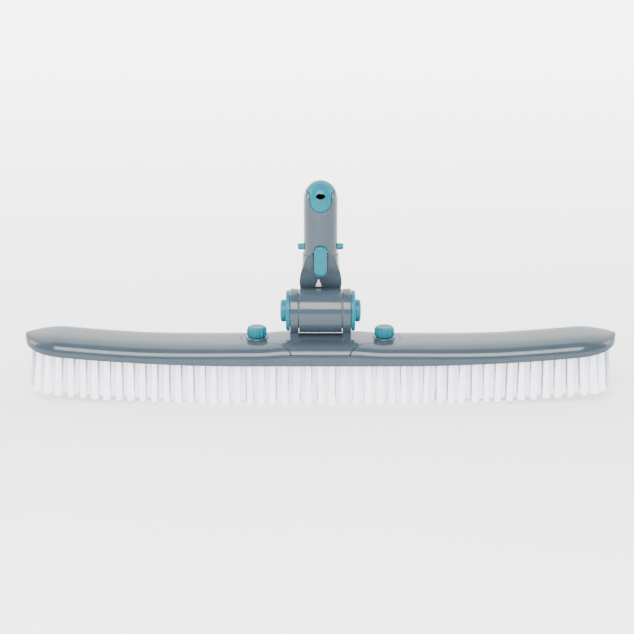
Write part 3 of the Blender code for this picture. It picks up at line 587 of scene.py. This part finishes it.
def make_yoke():
    yoke = solid(head_shape())
    combine(yoke, saddle_space(0), "INTERSECT")
    for side in (-1, 1):
        low, high = sorted((side * EAR_INNER, side * EAR_OUTER))
        combine(yoke, rounded_prism(ear_outline(), "X", low, high, EDGE_ROUND), "UNION")
    steps = [CRADLE_HALF * (i / 16 - 1) for i in range(33)]
    arch = [(y, CRADLE_FOOT + CRADLE_RISE * (0.5 + 0.5 * cos(pi * y / CRADLE_HALF))) for y in steps]
    arch += [(CRADLE_HALF, SADDLE_LINE + 4 * MM), (-CRADLE_HALF, SADDLE_LINE + 4 * MM)]
    combine(yoke, prism(arch, "X", -EAR_INNER - 1 * MM, EAR_INNER + 1 * MM), "UNION")
    for side in (-1, 1):
        near, beyond = EAR_INNER - 2 * MM, EAR_OUTER + 2 * MM
        profile = [(0, near), (BUSH_BORE, near), (BUSH_BORE, BUSH_END), (SPIGOT_BORE, BUSH_END)]
        combine(yoke, lathe(profile + [(SPIGOT_BORE, beyond), (0, beyond)], "X", PIVOT, 72, side))
        hole = rod(
            STUD_CLEARANCE, SADDLE_LINE - 5 * MM, SADDLE_LINE + 15 * MM, at=(side * KNOB_X, 0, 0), steps=32
        )
        combine(yoke, hole)
        combine(yoke, rod(KNOB_SEAT_RADIUS, KNOB_SEAT, KNOB_SEAT + 5 * MM, at=(side * KNOB_X, 0, 0)))
    return finish_piece(yoke, "yoke_moulding", LOOKS["grey_plastic"], "head", "grey_plastic", "yoke")


# ---- bristles ----

TUFT_PITCH = 10 * MM
ROW_SPACING = 10 * MM
ROOT_RADIUS = 2.05 * MM
TIP_RADIUS = 2.75 * MM
BACK_ROW_SHARE = 0.84  # the staggered rows have slightly thinner tufts
FILAMENT_RADIUS = 0.24 * MM
FILAMENTS = 48
FILAMENT_SIDES = 4
GOLDEN_ANGLE = pi * (3 - sqrt(5))
END_LEAN = radians(4.5)


def row_places(row):
    """Plan positions of one row's tufts. The outer rows follow the rim round the ends."""
    y = (row - 2) * ROW_SPACING
    straight = HALF_LENGTH - END_LENGTH
    if row in (1, 3):
        reach, shift = 22, TUFT_PITCH / 2
        return [(k * TUFT_PITCH + shift, y) for k in range(-reach - 1, reach + 1)]
    reach = 21 if row in (0, 4) else 23
    places = [(k * TUFT_PITCH, y) for k in range(-reach, reach + 1)]
    if row == 2:
        return places
    long_axis, short_axis = END_LENGTH - 7.5 * MM, abs(y)
    travelled, target, last = 0.0, 4 * MM, (straight, short_axis)
    for step in range(1, 401):
        angle = pi / 2 * step / 400
        point = (straight + long_axis * sin(angle), short_axis * cos(angle))
        travelled += sqrt((point[0] - last[0]) ** 2 + (point[1] - last[1]) ** 2)
        last = point
        if travelled >= target and point[1] > 2 * MM:
            target += TUFT_PITCH * 0.95
            side = 1 if y > 0 else -1
            places += [(point[0], side * point[1]), (-point[0], side * point[1])]
    return sorted(places)


def add_filament(bm, root, tip, bow):
    """One square filament with a slight bow and flat ends."""
    middle = (root + tip) / 2 + bow
    rings = []
    for point in (root, middle, tip):
        ring = []
        for k in range(FILAMENT_SIDES):
            turn = 2 * pi * k / FILAMENT_SIDES
            offset = Vector((FILAMENT_RADIUS * cos(turn), FILAMENT_RADIUS * sin(turn), 0))
            ring.append(bm.verts.new(point + offset))
        rings.append(ring)
    for upper, lower in zip(rings, rings[1:]):
        for i in range(FILAMENT_SIDES):
            j = (i + 1) % FILAMENT_SIDES
            bm.faces.new((lower[i], lower[j], upper[j], upper[i]))
    bm.faces.new(rings[-1][::-1])
    bm.faces.new(rings[0])


def make_row(row):
    """One row of staple-set tufts, each a bundle of filaments that fans out towards its tips."""
    rng = random.Random(40 + row)
    bm = bmesh.new()
    narrow = BACK_ROW_SHARE if row in (1, 3) else 1
    for x, y in row_places(row):
        root_z = rim_height(x) + PLATE_LIP + 0.15 * MM
        reach = max(0.0, abs(x) - 170 * MM) / (HALF_LENGTH - 170 * MM)
        lean = END_LEAN * reach * (1 if x > 0 else -1) + radians(rng.uniform(-1.5, 1.5))
        depth_lean = radians(rng.uniform(-0.8, 0.8))
        fan = rng.uniform(0.85, 1.2)
        for i in range(FILAMENTS):
            share = sqrt((i + 0.5) / FILAMENTS)
            angle = i * GOLDEN_ANGLE + rng.uniform(-0.25, 0.25)
            away = Vector((cos(angle), sin(angle), 0)) * share
            root = Vector((x, y, root_z)) + away * ROOT_RADIUS * narrow
            tip = Vector((x, y, sweep_up(x))) + away * TIP_RADIUS * fan * narrow
            length = root_z - tip.z
            tip.x += length * sin(lean) + rng.uniform(-0.35, 0.35) * MM
            tip.y += length * sin(depth_lean) + rng.uniform(-0.35, 0.35) * MM
            tip.z += rng.uniform(0.02, 0.9) * MM + (1.2 * MM if rng.random() < 0.04 else 0)
            bow = Vector((rng.uniform(-0.3, 0.3), rng.uniform(-0.3, 0.3), 0)) * MM
            add_filament(bm, root, tip, bow)
    item = solid(bm)
    name = f"tufts_row_{row + 1}"
    return finish_piece(
        item, name, LOOKS["white_nylon"], "head", "white_nylon", f"bristle_row_{row + 1}", angle=60
    )


# ---- knobs ----

KNOB_LOW, KNOB_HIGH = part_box("knob_right")
KNOB_RADIUS = KNOB_HIGH.x - KNOB_X
KNOB_FLUTES = 14
FLUTE_DEPTH = 0.85 * MM


def fluted_ring(x, radius, z, depth):
    ring = []
    count = KNOB_FLUTES * 10
    for i in range(count):
        angle = 2 * pi * i / count
        hollow = (0.5 - 0.5 * cos(KNOB_FLUTES * angle)) ** 1.6
        reach = radius - depth * hollow
        ring.append((x + reach * cos(angle), reach * sin(angle), z))
    return ring


def make_knob(side, label):
    x = side * KNOB_X
    base, top = KNOB_LOW.z, KNOB_HIGH.z
    levels = [
        (-0.9, 0.0, 0.5),
        (-0.35, 0.15, 0.8),
        (0.0, 0.6, 1.0),
        (0.0, 3.2, 1.0),
        (-0.05, 5.4, 1.0),
        (-0.35, 6.2, 0.9),
        (-0.9, 6.85, 0.6),
        (-1.7, 7.25, 0.25),
        (-2.6, 7.4, 0.0),
        (-3.4, 7.42, 0.0),
        (-4.0, 7.3, 0.0),
        (-5.6, 7.25, 0.0),
    ]
    scale = (top - base) / (7.42 * MM)
    rings = []
    for shrink, height, flute in levels:
        rings.append(
            fluted_ring(x, KNOB_RADIUS + shrink * MM, base + height * MM * scale, FLUTE_DEPTH * flute)
        )
    knob = solid(loft(rings))
    low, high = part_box(f"knob_stud_{label}")
    combine(knob, rod(KNOB_BORE, base - 2 * MM, high.z + 0.3 * MM, at=(x, 0, 0), steps=32))
    finish_piece(
        knob, f"knob_grip_{label}", LOOKS["cyan_plastic"], f"knob_{label}", "cyan_plastic", f"knob_{label}"
    )

    low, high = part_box(f"knob_collar_{label}")
    outer = high.x - x
    lip = [
        (STUD_CLEARANCE, low.z),
        (outer, low.z),
        (outer, low.z + 1.3 * MM),
        (outer - 1.2 * MM, high.z - 0.2 * MM),
    ]
    profile = round_corners(lip + [(outer - 2.6 * MM, high.z), (STUD_CLEARANCE, high.z)], 0.5 * MM)
    collar = solid(lathe(profile, at=(x, 0, 0), steps=72))
    name = f"collar_moulding_{label}"
    finish_piece(
        collar, name, LOOKS["grey_plastic"], f"collar_{label}", "grey_plastic", f"knob_collar_{label}"
    )


# ---- pivot ----


def make_pivot(side, label):
    """Bezel and push-button of one side."""
    low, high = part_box(f"button_bezel_{label}")
    inner_x, outer_x = sorted((abs(low.x), abs(high.x)))
    radius = high.y
    flange_x = EAR_OUTER + 0.3 * MM
    bore = BEZEL_BORE
    spigot = [
        (BEZEL_SPIGOT_BORE, inner_x), (BEZEL_SPIGOT, inner_x), (BEZEL_SPIGOT, flange_x), (radius, flange_x)
    ]
    rounded = round_corners(spigot, 0.3 * MM)
    rounded += arc((radius - BEZEL_ROUND, outer_x - BEZEL_ROUND), BEZEL_ROUND, 0, 90, 8)
    rounded += [(bore + 0.5 * MM, outer_x), (bore, outer_x - 0.4 * MM)]
    rounded += [(bore, flange_x - 0.8 * MM), (BEZEL_SPIGOT_BORE, flange_x - 0.8 * MM)]
    bezel = solid(lathe(rounded, "X", PIVOT, 96, side))
    finish_piece(
        bezel, f"bezel_ring_{label}", LOOKS["cyan_plastic"], "head", "cyan_plastic", f"button_bezel_{label}"
    )

    low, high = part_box(f"pivot_button_{label}")
    inner_x, outer_x = sorted((abs(low.x), abs(high.x)))
    head = bore - 0.3 * MM
    end = outer_x
    crown = [(head, end - 2.2 * MM)] + arc((head - 1.6 * MM, end - 2.2 * MM), 1.6 * MM, 0, 62, 7)[1:]
    crown += [
        (head * 0.72, end - 0.42 * MM),
        (head * 0.45, end - 0.15 * MM),
        (head * 0.2, end - 0.03 * MM),
        (0, end),
    ]
    blind = inner_x + BUTTON_HOLLOW
    flange_top = inner_x + BUTTON_FLANGE_HEIGHT
    profile = [(PIN_CLEARANCE, inner_x), (BUTTON_FLANGE, inner_x), (BUTTON_FLANGE, flange_top)]
    profile += [(head, flange_top)] + crown + [(0, blind), (PIN_CLEARANCE, blind)]
    button = solid(lathe(profile, "X", PIVOT, 96, side))
    body = f"button_{label}"
    finish_piece(
        button, f"push_button_{label}", LOOKS["cyan_plastic"], body, "cyan_plastic", f"pivot_button_{label}"
    )


# ---- handle ----


def handle_profile(shrink=0.0):
    """Radius and height up the neck, over the pole stop, up the spigot and round its domed end."""
    neck = NECK + [(NECK[-1][0], SHOULDER / MM - 0.5)]
    points = [(0, neck[0][1] * MM)]
    points += [(radius * MM - shrink, height * MM) for radius, height in smooth_curve(neck)]
    points += [(15.0 * MM - shrink, SHOULDER - 0.2 * MM), (14.75 * MM - shrink, SHOULDER)]
    points += [(TUBE_RADIUS - shrink, SHOULDER)]
    for i in range(25):
        angle = pi / 2 * i / 24
        points.append(((TUBE_RADIUS - shrink) * cos(angle), DOME_START + DOME_HEIGHT * sin(angle)))
    points[-1] = (0, DOME_TOP)
    return points


def rake_axes():
    along = (RAKE_FOOT - RAKE_TOP).normalized()
    return along, Vector((-along.y, along.x))


def raked_space(inward):
    """Everything in front of the raked panel, moved into the neck by a distance."""
    along, into = rake_axes()
    top = RAKE_TOP + into * inward - along * 20 * MM
    foot = RAKE_FOOT + into * inward + along * 30 * MM
    outline = [tuple(top), tuple(foot), (-FAR, foot.y), (-FAR, top.y)]
    return prism(outline, "X", -FAR, FAR)


def scoop_space():
    """A round hollow along the rake, which makes the panel concave from side to side."""
    along, into = rake_axes()
    centre = (RAKE_TOP + RAKE_FOOT) / 2 + into * (PANEL_DEPTH - SCOOP_RADIUS)
    bm = rod(SCOOP_RADIUS, -70 * MM, 70 * MM, steps=160)
    tilt = atan2(along.x, -along.y)
    bmesh.ops.rotate(bm, cent=(0, 0, 0), matrix=Matrix.Rotation(tilt, 3, "X"), verts=bm.verts)
    bmesh.ops.translate(bm, vec=Vector((0, centre.x, centre.y)), verts=bm.verts)
    return bm


def clip_space(offset):
    half = TONGUE_HALF + offset
    centre_z = TONGUE_FOOT + TONGUE_HALF
    edge = CLIP_EDGE - offset
    corner = 2.2 * MM
    tongue = arc((0, centre_z), half, 180, 360, 40)
    right = arc((half + corner, edge - corner), corner, 180, 90, 8)
    left = [(-x, z) for x, z in reversed(right)]
    beyond = DOME_TOP + 5 * MM
    outline = tongue + right + [(FAR, edge), (FAR, beyond), (-FAR, beyond), (-FAR, edge)] + left
    return prism(outline, "Y", -FAR, FAR)


def stadium(half, low, high, count=20):
    upper = arc((0, high - half), half, 0, 180, count)
    lower = arc((0, low + half), half, 180, 360, count)
    return upper + lower


def barrel_profile():
    corner = EDGE_ROUND
    return round_corners(
        [(0, -BARREL_HALF), (BARREL_RADIUS, -BARREL_HALF), (BARREL_RADIUS, BARREL_HALF), (0, BARREL_HALF)],
        corner,
        5,
    )


def make_handle():
    handle = solid(lathe(handle_profile(), steps=120))
    combine(handle, raked_space(0))
    scoop = solid(lathe(handle_profile(PANEL_RIM), steps=120))
    combine(scoop, raked_space(PANEL_DEPTH), "INTERSECT")
    combine(scoop, scoop_space(), "INTERSECT")
    combine(handle, scoop)
    combine(handle, lathe(barrel_profile(), "X", PIVOT, 120), "UNION")
    combine(handle, clip_space(GROOVE / 2))
    half_bore = [(PIN_CLEARANCE, WEB_HALF), (BORE_RADIUS, WEB_HALF), (BORE_RADIUS, BUSH_START)]
    half_bore += [(BUSH_BORE, BUSH_START), (BUSH_BORE, BARREL_HALF + 5 * MM), (0, BARREL_HALF + 5 * MM)]
    bore = [(radius, -height) for radius, height in reversed(half_bore)] + half_bore
    combine(handle, lathe(bore, "X", PIVOT, 72, phase=CUTTER_TURN))
    combine(handle, rod(TUBE_BORE, BORE_FLOOR, 200 * MM, steps=72))
    lower_bore = arc((0, 0), TUBE_BORE - 0.02 * MM, -20.9, 200.9, 48)
    combine(handle, prism(lower_bore, "Z", LOWER_BORE_FLOOR, BORE_FLOOR + 0.6 * MM))
    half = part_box("lock_bolt")[1].x + 0.3 * MM
    combine(handle, prism([(y * MM, z * MM) for y, z in BOLT_CHANNEL], "X", -half, half))
    low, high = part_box("lock_lever")
    slot = stadium(high.x - PAD_EASE + SLOT_GAP, low.z - SLOT_GAP, high.z + SLOT_GAP)
    combine(handle, prism(slot, "Y", -20 * MM, 0.6 * MM))
    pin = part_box("lever_pin")[1].x + 0.3 * MM
    combine(handle, rod(LEVER_EYE, -pin, pin, "X", LEVER_PIVOT, 24))
    combine(handle, rod(SNAP_RADIUS + 0.3 * MM, -20 * MM, 20 * MM, "X", (0, 0, SNAP_Z), 40))
    finish_piece(handle, "handle_moulding", LOOKS["grey_plastic"], "handle", "grey_plastic", "handle")


def make_lever():
    """Pill-shaped lock lever: a crowned thumb pad that curves under, on a web with an inner arm."""
    low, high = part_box("lock_lever")
    half = high.x - PAD_EASE
    face = low.y
    pad_back = face + PAD_DEPTH

    def front(z):
        below = max(0.0, (low.z + PAD_NOSE - z) / PAD_NOSE)
        return face + PAD_CURL * (1 - sqrt(max(0.0, 1 - below**2)))

    rings = []
    outline = stadium(half, low.z, high.z, 28)
    centre_z = (low.z + high.z) / 2
    for inward, depth in ((0.0, 1.0), (0.0, 0.42), (0.35, 0.22), (1.0, 0.09), (2.0, 0.025), (3.6, 0.0)):
        ring = []
        for x, z in inset(outline, inward * MM):
            near = front(z)
            waist = 1 - 0.05 * ease((centre_z - z) / (high.z - centre_z))
            ring.append((x * waist, near + (pad_back - near) * depth, z))
        rings.append(ring)
    lever = solid(loft(rings))
    web = stadium(half - 0.4 * MM, low.z + 1 * MM, high.z - 1.6 * MM)
    combine(lever, rounded_prism(web, "Y", pad_back - 1 * MM, WEB_BACK, 0.2 * MM), "UNION")
    arm = [(y * MM, z * MM) for y, z in LEVER_ARM]
    combine(lever, prism(arm, "X", -LEVER_ARM_HALF, LEVER_ARM_HALF), "UNION")
    combine(lever, rod(LEVER_EYE, -10 * MM, 10 * MM, "X", LEVER_PIVOT, 24))
    finish_piece(lever, "lever_pad", LOOKS["cyan_plastic"], "lock_lever", "cyan_plastic", "lock_lever")


def make_bolt_spring():
    """Coil spring above the lock bolt."""
    low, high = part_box("bolt_spring")
    middle = (low + high) / 2
    wire = SPRING_WIRE / 2
    reach = (high.x - low.x) / 2 - wire
    length = high.z - low.z - 2 * wire
    rings = []
    steps = SPRING_TURNS * 20
    for i in range(steps + 1):
        turn = 2 * pi * SPRING_TURNS * i / steps
        centre = Vector((middle.x, middle.y, low.z + wire + length * i / steps))
        out = Vector((cos(turn), sin(turn), 0))
        ring = []
        for k in range(8):
            angle = 2 * pi * k / 8
            point = centre + out * (reach + wire * cos(angle)) + Vector((0, 0, wire * sin(angle)))
            ring.append(tuple(point))
        rings.append(ring)
    spring = solid(loft(rings))
    finish_piece(spring, "bolt_coil", LOOKS["steel"], "handle", "steel", "bolt_spring")
    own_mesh(spring)


def make_clip():
    cap = solid(lathe(handle_profile(), steps=120))
    combine(cap, clip_space(-GROOVE / 2), "INTERSECT")
    low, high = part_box("clip_cap")
    combine(cap, rod(STEM_RADIUS, low.z, CLIP_EDGE - 0.4 * MM, steps=96), "UNION")
    cavity = [(0, low.z - 5 * MM), (STEM_BORE, low.z - 5 * MM), (STEM_BORE, HANG_HOLE_Z)]
    cavity += [(STEM_BORE * 0.7, STEM_BORE_TOP - 1 * MM), (0, STEM_BORE_TOP)]
    combine(cap, lathe(cavity, steps=72, phase=CUTTER_TURN))
    half_x, half_z = HANG_HOLE_HALF
    angles = [2 * pi * i / 48 for i in range(48)]
    oval = [(half_x * cos(a), HANG_HOLE_Z + half_z * sin(a)) for a in angles]
    combine(cap, prism(oval, "Y", -FAR, FAR))
    finish_piece(cap, "clip_dome", LOOKS["cyan_plastic"], "handle", "cyan_plastic", "clip_cap")

    for side, label in ((-1, "left"), (1, "right")):
        low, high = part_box(f"snap_arm_{label}")
        inner = min(abs(low.x), abs(high.x))
        ends = sorted((side * inner, side * SNAP_BAR_OUTER))
        half = SNAP_BAR_HALF
        outline = [(-half, low.z), (half, low.z), (half, high.z), (-half, high.z)]
        arm = solid(prism(outline, "X", *ends))
        tip = SNAP_END
        dome = arc((SNAP_RADIUS - SNAP_TIP_ROUND, tip - SNAP_TIP_ROUND), SNAP_TIP_ROUND, 0, 90, 7)
        profile = [(0, inner + 1 * MM), (SNAP_RADIUS, inner + 1 * MM)] + dome + [(0, tip)]
        combine(arm, lathe(profile, "X", (0, 0, SNAP_Z), 48, side), "UNION")
        name = f"snap_button_{label}"
        finish_piece(arm, name, LOOKS["cyan_plastic"], f"snap_{label}", "cyan_plastic", f"snap_arm_{label}")


def make_lock_mark():
    """A plain white triangle printed on the panel below the lever."""
    along, into = rake_axes()
    depth = PANEL_DEPTH - 0.12 * MM
    foot_z, top_z = 95.9 * MM, 103.2 * MM
    corners = []
    for x, z in ((-2.6 * MM, foot_z), (2.6 * MM, foot_z), (0.35 * MM, top_z), (-0.35 * MM, top_z)):
        share = (RAKE_TOP.y - z) / -along.y
        point = RAKE_TOP + along * share + into * depth
        corners.append(Vector((x - 1.7 * MM, point.x, point.y)))
    thickness = Vector((0, into.x, into.y)) * 0.3 * MM
    bm = loft([[tuple(c) for c in corners], [tuple(c + thickness) for c in corners]])
    mark = solid(bm)
    finish_piece(mark, "lock_mark", LOOKS["print"], "handle", "grey_plastic")


# ---- CAD nodes that stay ----


def dress_cad_nodes():
    """Better materials for the CAD nodes that no new piece replaces."""
    for entry in frame["record"]["subparts"]:
        node = frame["nodes"][entry["node"]]
        node.data.materials.clear()
        node.data.materials.append(LOOKS[entry["material_slot"]])


# ---- stage ----


def make_stage():
    bm = bmesh.new()
    bmesh.ops.create_grid(bm, x_segments=1, y_segments=1, size=6)
    floor = solid(bm, "floor")
    n = Nodes("pale_floor")
    shade = n.spread(n.noise(3, 2, 0.5), 0.3, 0.7, 0, 1)
    n.link(n.colour_mix(shade, (0.90, 0.90, 0.90), (0.92, 0.92, 0.92)), n.shader.inputs["Base Color"])
    place = n.add("TexCoord")
    split = n.add("SeparateXYZ")
    n.link(place.outputs["Object"], split.inputs["Vector"])
    n.link(n.spread(split.outputs["Y"], 0.0, 1.6, 0.2, 4.5), n.shader.inputs["Emission Strength"])
    n.shader.inputs["Emission Color"].default_value = (1, 1, 1, 1)
    n.shader.inputs["Roughness"].default_value = 0.9
    n.shader.inputs["Specular IOR Level"].default_value = 0.1
    floor.data.materials.append(n.material)
    floor.location.z = -0.2 * MM


def softbox(name, place, target, size, power):
    data = bpy.data.lights.new(name, "AREA")
    data.shape = "RECTANGLE"
    data.size, data.size_y = size
    data.energy = power
    lamp = bpy.data.objects.new(name, data)
    lamp.location = place
    lamp.rotation_euler = (Vector(target) - Vector(place)).to_track_quat("-Z", "Y").to_euler()
    bpy.context.scene.collection.objects.link(lamp)


def make_lights():
    """One front softbox, two side ones, and surroundings that are bright behind and dim in front."""
    middle = (0, 0, 0.08)
    softbox("front_softbox", (-0.12, -1.2, 1.15), middle, (1.3, 1.0), 74)
    softbox("left_softbox", (-1.7, 0.1, 0.7), middle, (0.7, 1.2), 24)
    softbox("right_softbox", (1.7, 0.1, 0.7), middle, (0.7, 1.2), 19)
    world = bpy.data.worlds.new("studio")
    world.use_nodes = True
    tree = world.node_tree
    link = tree.links.new
    split = tree.nodes.new("ShaderNodeSeparateXYZ")
    link(tree.nodes.new("ShaderNodeTexCoord").outputs["Generated"], split.inputs["Vector"])
    ramps = []
    front = ((0.0, 0.30), (0.35, 0.22), (0.8, 0.14), (1.0, 0.14))
    behind = ((0.0, 1.5), (0.6, 2.3), (0.93, 2.6), (0.98, 0.3))
    for stops in (front, behind):
        ramp = tree.nodes.new("ShaderNodeValToRGB")
        points = ramp.color_ramp.elements
        for place, level in stops[1:-1]:
            points.new(place)
        for point, (place, level) in zip(points, stops):
            point.position = place
            point.color = (level, level, level, 1)
        link(split.outputs["Z"], ramp.inputs["Fac"])
        ramps.append(ramp.outputs["Color"])
    back = tree.nodes.new("ShaderNodeMapRange")
    back.inputs["From Min"].default_value = -0.25
    back.inputs["From Max"].default_value = 0.35
    link(split.outputs["Y"], back.inputs["Value"])
    mix = tree.nodes.new("ShaderNodeMix")
    mix.data_type = "RGBA"
    link(back.outputs["Result"], mix.inputs[0])
    link(ramps[0], mix.inputs[6])
    link(ramps[1], mix.inputs[7])
    link(mix.outputs[2], tree.nodes["Background"].inputs["Color"])
    tree.nodes["Background"].inputs["Strength"].default_value = 1.6
    bpy.context.scene.world = world


CAMERA_TARGET = Vector((-3 * MM, 0, 71.2 * MM))
CAMERA_DISTANCE = 2.0
CAMERA_ELEVATION = radians(17)
VIEW_WIDTH = 0.5364


def make_camera():
    data = bpy.data.cameras.new("camera")
    data.sensor_width = 36
    data.lens = 36 * CAMERA_DISTANCE / VIEW_WIDTH
    camera = bpy.data.objects.new("camera", data)
    back = Vector((0, -cos(CAMERA_ELEVATION), sin(CAMERA_ELEVATION)))
    camera.location = CAMERA_TARGET + back * CAMERA_DISTANCE
    camera.rotation_euler = (-back).to_track_quat("-Z", "Y").to_euler()
    bpy.context.scene.collection.objects.link(camera)
    bpy.context.scene.camera = camera


def main():
    make_camera()
    make_lights()
    make_stage()
    dress_cad_nodes()
    make_cover()
    make_yoke()
    for row in range(5):
        make_row(row)
    for side, label in ((-1, "left"), (1, "right")):
        make_knob(side, label)
        make_pivot(side, label)
    make_handle()
    make_lever()
    make_bolt_spring()
    make_clip()
    make_lock_mark()


main()
